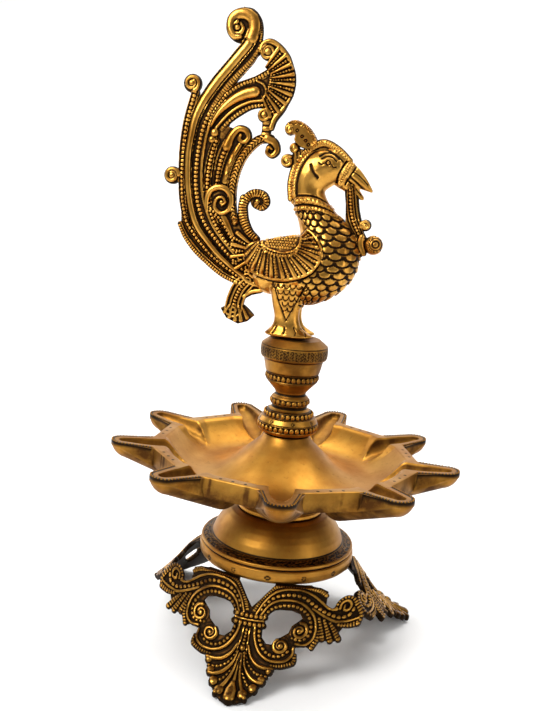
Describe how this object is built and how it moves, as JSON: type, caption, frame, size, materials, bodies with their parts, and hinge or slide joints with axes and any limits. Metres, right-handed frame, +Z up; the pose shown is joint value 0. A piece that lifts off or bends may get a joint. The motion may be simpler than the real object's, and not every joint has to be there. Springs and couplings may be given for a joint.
{
  "type": "standing oil lamp",
  "caption": "Brass standing oil lamp with a spouted oil bowl, a bell pedestal on openwork legs, and a turned stem that carries a peacock finial.",
  "frame": {"origin": "on the floor, under the lamp's axis", "axes": "+Z up along the lamp's axis, +X the way the peacock faces; the peacock and its tail lie in the XZ plane"},
  "size_m": [0.2545, 0.256, 0.458],
  "materials": {
    "satin_brass": "lathe-turned satin brass",
    "polished_brass": "bright polished brass",
    "antique_brass": "chased brass with dark patina in its recesses",
    "plain_brass": "plain machined brass"
  },
  "bodies": {
    "pedestal": {"leg_front": "antique_brass", "leg_right": "antique_brass", "leg_left": "antique_brass", "leg_rivets": "plain_brass", "pedestal_bell": "satin_brass", "pedestal_screw": "plain_brass"},
    "bowl_thread": {"bowl_bush": "plain_brass"},
    "bowl": {"bowl": "satin_brass", "bowl_foot_ring": "polished_brass", "stem_screw": "plain_brass"},
    "stem_thread": {"stem_bush": "plain_brass"},
    "stem": {"stem_knop": "satin_brass", "stem_tie_rod": "plain_brass", "stem_baluster": "satin_brass", "stem_cup": "satin_brass", "finial_bush": "plain_brass"},
    "finial_thread": {"finial_screw": "plain_brass"},
    "finial": {"finial_plinth": "satin_brass", "bird_body": "antique_brass", "bird_tail": "antique_brass", "tail_rivets": "plain_brass", "bird_crest": "polished_brass", "bird_garland": "antique_brass"}
  },
  "joints": [
    {"name": "bowl_lift", "type": "slide", "parent": "pedestal", "child": "bowl_thread", "axis": [0, 0, 1], "range_m": [0, 0.01125]},
    {"name": "bowl_turn", "type": "hinge", "parent": "bowl_thread", "child": "bowl", "pos_m": [0, 0, 0.1], "axis": [0, 0, 1], "range_deg": [0, 1620]},
    {"name": "stem_lift", "type": "slide", "parent": "bowl", "child": "stem_thread", "axis": [0, 0, 1], "range_m": [0, 0.01125]},
    {"name": "stem_turn", "type": "hinge", "parent": "stem_thread", "child": "stem", "pos_m": [0, 0, 0.16], "axis": [0, 0, 1], "range_deg": [0, 1620]},
    {"name": "finial_lift", "type": "slide", "parent": "stem", "child": "finial_thread", "axis": [0, 0, 1], "range_m": [0, 0.01125]},
    {"name": "finial_turn", "type": "hinge", "parent": "finial_thread", "child": "finial", "pos_m": [0, 0, 0.22], "axis": [0, 0, 1], "range_deg": [0, 1620]}
  ],
  "couplings": [
    {"joint": "bowl_lift", "follows": "bowl_turn", "m_per_rad": 0.00039789},
    {"joint": "stem_lift", "follows": "stem_turn", "m_per_rad": 0.00039789},
    {"joint": "finial_lift", "follows": "finial_turn", "m_per_rad": 0.00039789}
  ]
}
